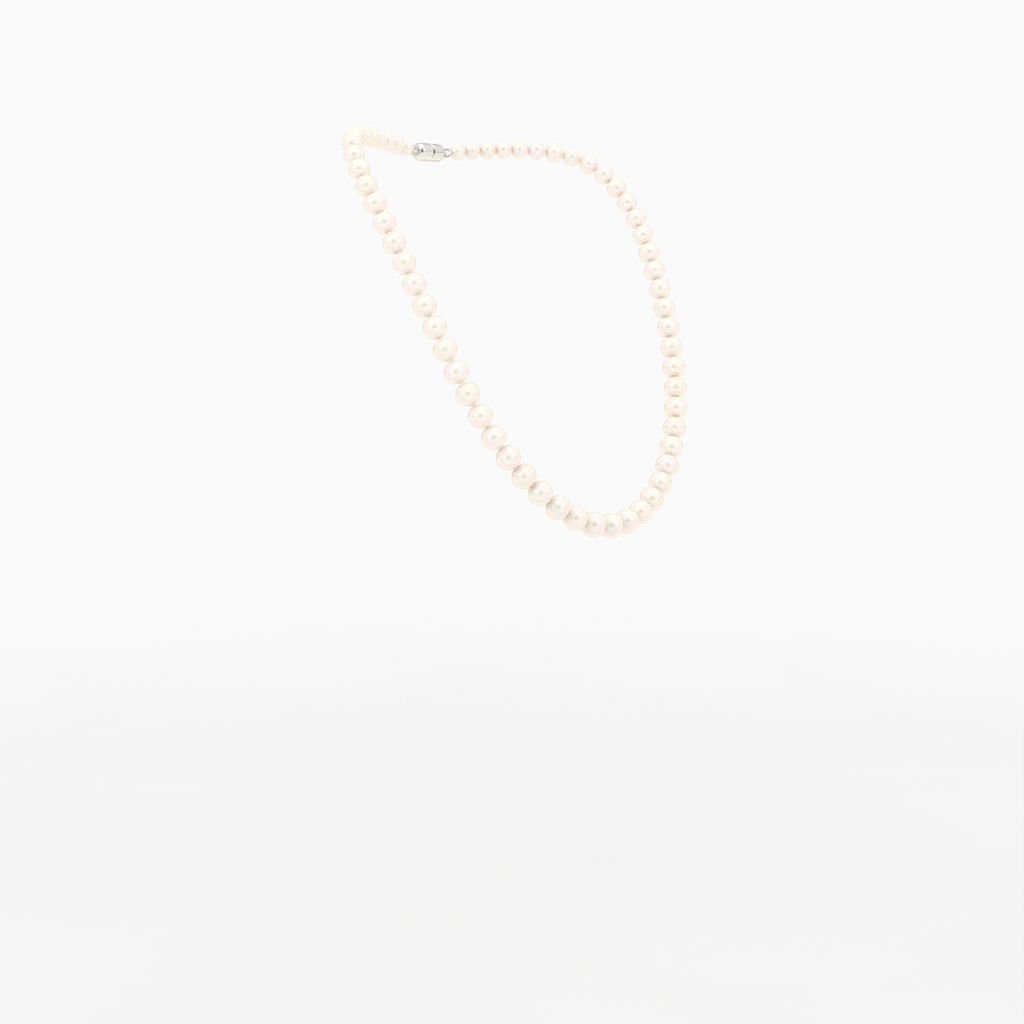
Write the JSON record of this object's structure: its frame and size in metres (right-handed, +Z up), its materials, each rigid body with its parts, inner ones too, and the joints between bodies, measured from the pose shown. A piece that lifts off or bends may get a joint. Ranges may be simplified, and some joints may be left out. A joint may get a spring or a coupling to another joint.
{
  "type": "pearl necklace",
  "caption": "Graduated pearl strand necklace, knotted on silk and closed by a small magnetic barrel clasp at the nape, in the drape it has around a neck.",
  "frame": {"origin": "centre of the front pearl, the lowest and foremost pearl of the worn necklace", "axes": "+Z up, -Y towards the front of the wearer, +X to the wearer's left; the strand is mirrored in the plane X = 0"},
  "size_m": [0.1266, 0.0922, 0.1314],
  "materials": {
    "nacre": "white nacre with a high soft lustre and a faint pink and cream overtone",
    "silk": "white twisted silk thread",
    "silver": "polished silver",
    "magnet": "nickel-plated magnet"
  },
  "bodies": {
    "pearl_centre": {"pearl_centre": "nacre", "silk_thread": "silk"},
    "pearl_right_01": {"pearl_right_01": "nacre"},
    "pearl_right_02": {"pearl_right_02": "nacre"},
    "pearl_right_03": {"pearl_right_03": "nacre"},
    "pearl_right_04": {"pearl_right_04": "nacre"},
    "pearl_right_05": {"pearl_right_05": "nacre"},
    "pearl_right_06": {"pearl_right_06": "nacre"},
    "pearl_right_07": {"pearl_right_07": "nacre"},
    "pearl_right_08": {"pearl_right_08": "nacre"},
    "pearl_right_09": {"pearl_right_09": "nacre"},
    "pearl_right_10": {"pearl_right_10": "nacre"},
    "pearl_right_11": {"pearl_right_11": "nacre"},
    "pearl_right_12": {"pearl_right_12": "nacre"},
    "pearl_right_13": {"pearl_right_13": "nacre"},
    "pearl_right_14": {"pearl_right_14": "nacre"},
    "pearl_right_15": {"pearl_right_15": "nacre"},
    "pearl_right_16": {"pearl_right_16": "nacre"},
    "pearl_right_17": {"pearl_right_17": "nacre"},
    "pearl_right_18": {"pearl_right_18": "nacre"},
    "pearl_right_19": {"pearl_right_19": "nacre"},
    "pearl_right_20": {"pearl_right_20": "nacre"},
    "pearl_right_21": {"pearl_right_21": "nacre"},
    "pearl_right_22": {"pearl_right_22": "nacre"},
    "pearls_right_23_24": {"pearls_right_23_24": "nacre"},
    "pearls_right_25_26": {"pearls_right_25_26": "nacre"},
    "pearls_right_27_28": {"pearls_right_27_28": "nacre"},
    "pearls_right_29_30": {"pearls_right_29_30": "nacre", "gimp_loop_right": "silver"},
    "clasp_plug": {"clasp_plug": "silver", "plug_magnet": "magnet"},
    "pearl_left_01": {"pearl_left_01": "nacre"},
    "pearl_left_02": {"pearl_left_02": "nacre"},
    "pearl_left_03": {"pearl_left_03": "nacre"},
    "pearl_left_04": {"pearl_left_04": "nacre"},
    "pearl_left_05": {"pearl_left_05": "nacre"},
    "pearl_left_06": {"pearl_left_06": "nacre"},
    "pearl_left_07": {"pearl_left_07": "nacre"},
    "pearl_left_08": {"pearl_left_08": "nacre"},
    "pearl_left_09": {"pearl_left_09": "nacre"},
    "pearl_left_10": {"pearl_left_10": "nacre"},
    "pearl_left_11": {"pearl_left_11": "nacre"},
    "pearl_left_12": {"pearl_left_12": "nacre"},
    "pearl_left_13": {"pearl_left_13": "nacre"},
    "pearl_left_14": {"pearl_left_14": "nacre"},
    "pearl_left_15": {"pearl_left_15": "nacre"},
    "pearl_left_16": {"pearl_left_16": "nacre"},
    "pearl_left_17": {"pearl_left_17": "nacre"},
    "pearl_left_18": {"pearl_left_18": "nacre"},
    "pearl_left_19": {"pearl_left_19": "nacre"},
    "pearl_left_20": {"pearl_left_20": "nacre"},
    "pearl_left_21": {"pearl_left_21": "nacre"},
    "pearl_left_22": {"pearl_left_22": "nacre"},
    "pearls_left_23_24": {"pearls_left_23_24": "nacre"},
    "pearls_left_25_26": {"pearls_left_25_26": "nacre"},
    "pearls_left_27_28": {"pearls_left_27_28": "nacre"},
    "pearls_left_29_30": {"pearls_left_29_30": "nacre", "gimp_loop_left": "silver"},
    "clasp_socket": {"clasp_socket": "silver", "socket_magnet": "magnet"}
  },
  "joints": [
    {"name": "bend_right_01", "type": "hinge", "parent": "pearl_centre", "child": "pearl_right_01", "pos_m": [0.00394, 0, 0], "axis": [1, 0, 0], "range_deg": [-15, 15], "stiffness_Nm_per_rad": 1.41},
    {"name": "open_right_02", "type": "hinge", "parent": "pearl_right_01", "child": "pearl_right_02", "pos_m": [0.01161, 0.00055, 0.00174], "axis": [0, 0.9517, -0.3071], "range_deg": [0, 12], "stiffness_Nm_per_rad": 1.34, "deforming": ["silk_thread"]},
    {"name": "bend_right_03", "type": "hinge", "parent": "pearl_right_02", "child": "pearl_right_03", "pos_m": [0.01873, 0.00159, 0.00491], "axis": [1, 0, 0], "range_deg": [-15, 15], "stiffness_Nm_per_rad": 1.26},
    {"name": "bend_right_04", "type": "hinge", "parent": "pearl_right_03", "child": "pearl_right_04", "pos_m": [0.02518, 0.003, 0.00918], "axis": [1, 0, 0], "range_deg": [-15, 15], "stiffness_Nm_per_rad": 1.17},
    {"name": "open_right_05", "type": "hinge", "parent": "pearl_right_04", "child": "pearl_right_05", "pos_m": [0.0309, 0.00472, 0.01425], "axis": [0, 0.9457, -0.3249], "range_deg": [0, 12], "stiffness_Nm_per_rad": 1.08},
    {"name": "bend_right_06", "type": "hinge", "parent": "pearl_right_05", "child": "pearl_right_06", "pos_m": [0.03592, 0.00669, 0.0199], "axis": [1, 0, 0], "range_deg": [-15, 15], "stiffness_Nm_per_rad": 0.995},
    {"name": "bend_right_07", "type": "hinge", "parent": "pearl_right_06", "child": "pearl_right_07", "pos_m": [0.04024, 0.00885, 0.02599], "axis": [1, 0, 0], "range_deg": [-15, 15], "stiffness_Nm_per_rad": 0.91},
    {"name": "open_right_08", "type": "hinge", "parent": "pearl_right_07", "child": "pearl_right_08", "pos_m": [0.04389, 0.0112, 0.03239], "axis": [0, 0.9371, -0.3491], "range_deg": [0, 12], "stiffness_Nm_per_rad": 0.827},
    {"name": "bend_right_09", "type": "hinge", "parent": "pearl_right_08", "child": "pearl_right_09", "pos_m": [0.04694, 0.0137, 0.039], "axis": [1, 0, 0], "range_deg": [-15, 15], "stiffness_Nm_per_rad": 0.749},
    {"name": "bend_right_10", "type": "hinge", "parent": "pearl_right_09", "child": "pearl_right_10", "pos_m": [0.04946, 0.01634, 0.04572], "axis": [1, 0, 0], "range_deg": [-15, 15], "stiffness_Nm_per_rad": 0.674},
    {"name": "open_right_11", "type": "hinge", "parent": "pearl_right_10", "child": "pearl_right_11", "pos_m": [0.05156, 0.0191, 0.05248], "axis": [0, 0.9226, -0.3858], "range_deg": [0, 12], "stiffness_Nm_per_rad": 0.604},
    {"name": "bend_right_12", "type": "hinge", "parent": "pearl_right_11", "child": "pearl_right_12", "pos_m": [0.05332, 0.02198, 0.05922], "axis": [1, 0, 0], "range_deg": [-15, 15], "stiffness_Nm_per_rad": 0.539},
    {"name": "bend_right_13", "type": "hinge", "parent": "pearl_right_12", "child": "pearl_right_13", "pos_m": [0.0548, 0.02498, 0.0659], "axis": [1, 0, 0], "range_deg": [-15, 15], "stiffness_Nm_per_rad": 0.479},
    {"name": "open_right_14", "type": "hinge", "parent": "pearl_right_13", "child": "pearl_right_14", "pos_m": [0.05608, 0.0281, 0.0725], "axis": [0, 0.8992, -0.4375], "range_deg": [0, 12], "stiffness_Nm_per_rad": 0.424},
    {"name": "bend_right_15", "type": "hinge", "parent": "pearl_right_14", "child": "pearl_right_15", "pos_m": [0.05722, 0.03135, 0.07899], "axis": [1, 0, 0], "range_deg": [-15, 15], "stiffness_Nm_per_rad": 0.375},
    {"name": "bend_right_16", "type": "hinge", "parent": "pearl_right_15", "child": "pearl_right_16", "pos_m": [0.05826, 0.03473, 0.08534], "axis": [1, 0, 0], "range_deg": [-15, 15], "stiffness_Nm_per_rad": 0.331},
    {"name": "open_right_17", "type": "hinge", "parent": "pearl_right_16", "child": "pearl_right_17", "pos_m": [0.05916, 0.03826, 0.09154], "axis": [0, 0.8604, -0.5096], "range_deg": [0, 12], "stiffness_Nm_per_rad": 0.293},
    {"name": "bend_right_18", "type": "hinge", "parent": "pearl_right_17", "child": "pearl_right_18", "pos_m": [0.0598, 0.04197, 0.09756], "axis": [1, 0, 0], "range_deg": [-15, 15], "stiffness_Nm_per_rad": 0.259},
    {"name": "bend_right_19", "type": "hinge", "parent": "pearl_right_18", "child": "pearl_right_19", "pos_m": [0.06005, 0.04589, 0.10338], "axis": [1, 0, 0], "range_deg": [-15, 15], "stiffness_Nm_per_rad": 0.23},
    {"name": "open_right_20", "type": "hinge", "parent": "pearl_right_19", "child": "pearl_right_20", "pos_m": [0.0597, 0.05005, 0.10892], "axis": [0, 0.7781, -0.6281], "range_deg": [0, 12], "stiffness_Nm_per_rad": 0.204},
    {"name": "bend_right_21", "type": "hinge", "parent": "pearl_right_20", "child": "pearl_right_21", "pos_m": [0.05849, 0.05446, 0.11399], "axis": [1, 0, 0], "range_deg": [-15, 15], "stiffness_Nm_per_rad": 0.18},
    {"name": "bend_right_22", "type": "hinge", "parent": "pearl_right_21", "child": "pearl_right_22", "pos_m": [0.05613, 0.05903, 0.11833], "axis": [1, 0, 0], "range_deg": [-15, 15], "stiffness_Nm_per_rad": 0.157},
    {"name": "open_right_23", "type": "hinge", "parent": "pearl_right_22", "child": "pearls_right_23_24", "pos_m": [0.05248, 0.06352, 0.12155], "axis": [0, 0.5128, -0.8585], "range_deg": [0, 12], "stiffness_Nm_per_rad": 0.134},
    {"name": "bend_right_25", "type": "hinge", "parent": "pearls_right_23_24", "child": "pearls_right_25_26", "pos_m": [0.04254, 0.0712, 0.12438], "axis": [1, 0, 0], "range_deg": [-15, 15], "stiffness_Nm_per_rad": 0.0907},
    {"name": "bend_right_27", "type": "hinge", "parent": "pearls_right_25_26", "child": "pearls_right_27_28", "pos_m": [0.0315, 0.07706, 0.1246], "axis": [1, 0, 0], "range_deg": [-15, 15], "stiffness_Nm_per_rad": 0.0556},
    {"name": "open_right_29", "type": "hinge", "parent": "pearls_right_27_28", "child": "pearls_right_29_30", "pos_m": [0.02033, 0.08145, 0.12379], "axis": [0, -0.2618, -0.9651], "range_deg": [0, 12], "stiffness_Nm_per_rad": 0.029},
    {"name": "clasp_plug_swing", "type": "hinge", "parent": "pearls_right_29_30", "child": "clasp_plug", "pos_m": [0.00702, 0.08543, 0.12227], "axis": [0, 0, -1], "range_deg": [0, 24], "stiffness_Nm_per_rad": 0.00638},
    {"name": "bend_left_01", "type": "hinge", "parent": "pearl_centre", "child": "pearl_left_01", "pos_m": [-0.00394, 0, 0], "axis": [1, 0, 0], "range_deg": [-15, 15], "stiffness_Nm_per_rad": 1.38},
    {"name": "open_left_02", "type": "hinge", "parent": "pearl_left_01", "child": "pearl_left_02", "pos_m": [-0.01161, 0.00055, 0.00174], "axis": [0, 0.9517, -0.3071], "range_deg": [-12, 0], "stiffness_Nm_per_rad": 1.3},
    {"name": "bend_left_03", "type": "hinge", "parent": "pearl_left_02", "child": "pearl_left_03", "pos_m": [-0.01873, 0.00159, 0.00491], "axis": [1, 0, 0], "range_deg": [-15, 15], "stiffness_Nm_per_rad": 1.22},
    {"name": "bend_left_04", "type": "hinge", "parent": "pearl_left_03", "child": "pearl_left_04", "pos_m": [-0.02518, 0.003, 0.00918], "axis": [1, 0, 0], "range_deg": [-15, 15], "stiffness_Nm_per_rad": 1.14},
    {"name": "open_left_05", "type": "hinge", "parent": "pearl_left_04", "child": "pearl_left_05", "pos_m": [-0.0309, 0.00472, 0.01425], "axis": [0, 0.9457, -0.3249], "range_deg": [-12, 0], "stiffness_Nm_per_rad": 1.05},
    {"name": "bend_left_06", "type": "hinge", "parent": "pearl_left_05", "child": "pearl_left_06", "pos_m": [-0.03592, 0.00669, 0.0199], "axis": [1, 0, 0], "range_deg": [-15, 15], "stiffness_Nm_per_rad": 0.963},
    {"name": "bend_left_07", "type": "hinge", "parent": "pearl_left_06", "child": "pearl_left_07", "pos_m": [-0.04024, 0.00885, 0.02599], "axis": [1, 0, 0], "range_deg": [-15, 15], "stiffness_Nm_per_rad": 0.879},
    {"name": "open_left_08", "type": "hinge", "parent": "pearl_left_07", "child": "pearl_left_08", "pos_m": [-0.04389, 0.0112, 0.03239], "axis": [0, 0.9371, -0.3491], "range_deg": [-12, 0], "stiffness_Nm_per_rad": 0.798},
    {"name": "bend_left_09", "type": "hinge", "parent": "pearl_left_08", "child": "pearl_left_09", "pos_m": [-0.04694, 0.0137, 0.039], "axis": [1, 0, 0], "range_deg": [-15, 15], "stiffness_Nm_per_rad": 0.72},
    {"name": "bend_left_10", "type": "hinge", "parent": "pearl_left_09", "child": "pearl_left_10", "pos_m": [-0.04946, 0.01634, 0.04572], "axis": [1, 0, 0], "range_deg": [-15, 15], "stiffness_Nm_per_rad": 0.647},
    {"name": "open_left_11", "type": "hinge", "parent": "pearl_left_10", "child": "pearl_left_11", "pos_m": [-0.05156, 0.0191, 0.05248], "axis": [0, 0.9226, -0.3858], "range_deg": [-12, 0], "stiffness_Nm_per_rad": 0.578},
    {"name": "bend_left_12", "type": "hinge", "parent": "pearl_left_11", "child": "pearl_left_12", "pos_m": [-0.05332, 0.02198, 0.05922], "axis": [1, 0, 0], "range_deg": [-15, 15], "stiffness_Nm_per_rad": 0.514},
    {"name": "bend_left_13", "type": "hinge", "parent": "pearl_left_12", "child": "pearl_left_13", "pos_m": [-0.0548, 0.02498, 0.0659], "axis": [1, 0, 0], "range_deg": [-15, 15], "stiffness_Nm_per_rad": 0.456},
    {"name": "open_left_14", "type": "hinge", "parent": "pearl_left_13", "child": "pearl_left_14", "pos_m": [-0.05608, 0.0281, 0.0725], "axis": [0, 0.8992, -0.4375], "range_deg": [-12, 0], "stiffness_Nm_per_rad": 0.402},
    {"name": "bend_left_15", "type": "hinge", "parent": "pearl_left_14", "child": "pearl_left_15", "pos_m": [-0.05722, 0.03135, 0.07899], "axis": [1, 0, 0], "range_deg": [-15, 15], "stiffness_Nm_per_rad": 0.353},
    {"name": "bend_left_16", "type": "hinge", "parent": "pearl_left_15", "child": "pearl_left_16", "pos_m": [-0.05826, 0.03473, 0.08534], "axis": [1, 0, 0], "range_deg": [-15, 15], "stiffness_Nm_per_rad": 0.31},
    {"name": "open_left_17", "type": "hinge", "parent": "pearl_left_16", "child": "pearl_left_17", "pos_m": [-0.05916, 0.03826, 0.09154], "axis": [0, 0.8604, -0.5096], "range_deg": [-12, 0], "stiffness_Nm_per_rad": 0.273},
    {"name": "bend_left_18", "type": "hinge", "parent": "pearl_left_17", "child": "pearl_left_18", "pos_m": [-0.0598, 0.04197, 0.09756], "axis": [1, 0, 0], "range_deg": [-15, 15], "stiffness_Nm_per_rad": 0.24},
    {"name": "bend_left_19", "type": "hinge", "parent": "pearl_left_18", "child": "pearl_left_19", "pos_m": [-0.06005, 0.04589, 0.10338], "axis": [1, 0, 0], "range_deg": [-15, 15], "stiffness_Nm_per_rad": 0.212},
    {"name": "open_left_20", "type": "hinge", "parent": "pearl_left_19", "child": "pearl_left_20", "pos_m": [-0.0597, 0.05005, 0.10892], "axis": [0, 0.7781, -0.6281], "range_deg": [-12, 0], "stiffness_Nm_per_rad": 0.186},
    {"name": "bend_left_21", "type": "hinge", "parent": "pearl_left_20", "child": "pearl_left_21", "pos_m": [-0.05849, 0.05446, 0.11399], "axis": [1, 0, 0], "range_deg": [-15, 15], "stiffness_Nm_per_rad": 0.163},
    {"name": "bend_left_22", "type": "hinge", "parent": "pearl_left_21", "child": "pearl_left_22", "pos_m": [-0.05613, 0.05903, 0.11833], "axis": [1, 0, 0], "range_deg": [-15, 15], "stiffness_Nm_per_rad": 0.141},
    {"name": "open_left_23", "type": "hinge", "parent": "pearl_left_22", "child": "pearls_left_23_24", "pos_m": [-0.05248, 0.06352, 0.12155], "axis": [0, 0.5128, -0.8585], "range_deg": [-12, 0], "stiffness_Nm_per_rad": 0.119},
    {"name": "bend_left_25", "type": "hinge", "parent": "pearls_left_23_24", "child": "pearls_left_25_26", "pos_m": [-0.04254, 0.0712, 0.12438], "axis": [1, 0, 0], "range_deg": [-15, 15], "stiffness_Nm_per_rad": 0.0792},
    {"name": "bend_left_27", "type": "hinge", "parent": "pearls_left_25_26", "child": "pearls_left_27_28", "pos_m": [-0.0315, 0.07706, 0.1246], "axis": [1, 0, 0], "range_deg": [-15, 15], "stiffness_Nm_per_rad": 0.0473},
    {"name": "open_left_29", "type": "hinge", "parent": "pearls_left_27_28", "child": "pearls_left_29_30", "pos_m": [-0.02033, 0.08145, 0.12379], "axis": [0, -0.2618, -0.9651], "range_deg": [-12, 0], "stiffness_Nm_per_rad": 0.0237},
    {"name": "clasp_socket_swing", "type": "hinge", "parent": "pearls_left_29_30", "child": "clasp_socket", "pos_m": [-0.00702, 0.08543, 0.12227], "axis": [0, 0, -1], "range_deg": [-24, 0], "stiffness_Nm_per_rad": 0.00464}
  ],
  "couplings": [
    {"joint": "open_right_05", "follows": "open_right_02", "ratio": 1},
    {"joint": "open_right_08", "follows": "open_right_02", "ratio": 1},
    {"joint": "open_right_11", "follows": "open_right_02", "ratio": 1},
    {"joint": "open_right_14", "follows": "open_right_02", "ratio": 1},
    {"joint": "open_right_17", "follows": "open_right_02", "ratio": 1},
    {"joint": "open_right_20", "follows": "open_right_02", "ratio": 1},
    {"joint": "open_right_23", "follows": "open_right_02", "ratio": 1},
    {"joint": "open_right_29", "follows": "open_right_02", "ratio": 1},
    {"joint": "clasp_plug_swing", "follows": "open_right_02", "ratio": 2},
    {"joint": "bend_left_01", "follows": "bend_right_01", "ratio": 1},
    {"joint": "open_left_02", "follows": "open_right_02", "ratio": -1},
    {"joint": "bend_left_03", "follows": "bend_right_03", "ratio": 1},
    {"joint": "bend_left_04", "follows": "bend_right_04", "ratio": 1},
    {"joint": "open_left_05", "follows": "open_right_02", "ratio": -1},
    {"joint": "bend_left_06", "follows": "bend_right_06", "ratio": 1},
    {"joint": "bend_left_07", "follows": "bend_right_07", "ratio": 1},
    {"joint": "open_left_08", "follows": "open_right_02", "ratio": -1},
    {"joint": "bend_left_09", "follows": "bend_right_09", "ratio": 1},
    {"joint": "bend_left_10", "follows": "bend_right_10", "ratio": 1},
    {"joint": "open_left_11", "follows": "open_right_02", "ratio": -1},
    {"joint": "bend_left_12", "follows": "bend_right_12", "ratio": 1},
    {"joint": "bend_left_13", "follows": "bend_right_13", "ratio": 1},
    {"joint": "open_left_14", "follows": "open_right_02", "ratio": -1},
    {"joint": "bend_left_15", "follows": "bend_right_15", "ratio": 1},
    {"joint": "bend_left_16", "follows": "bend_right_16", "ratio": 1},
    {"joint": "open_left_17", "follows": "open_right_02", "ratio": -1},
    {"joint": "bend_left_18", "follows": "bend_right_18", "ratio": 1},
    {"joint": "bend_left_19", "follows": "bend_right_19", "ratio": 1},
    {"joint": "open_left_20", "follows": "open_right_02", "ratio": -1},
    {"joint": "bend_left_21", "follows": "bend_right_21", "ratio": 1},
    {"joint": "bend_left_22", "follows": "bend_right_22", "ratio": 1},
    {"joint": "open_left_23", "follows": "open_right_02", "ratio": -1},
    {"joint": "bend_left_25", "follows": "bend_right_25", "ratio": 1},
    {"joint": "bend_left_27", "follows": "bend_right_27", "ratio": 1},
    {"joint": "open_left_29", "follows": "open_right_02", "ratio": -1},
    {"joint": "clasp_socket_swing", "follows": "open_right_02", "ratio": -2}
  ]
}
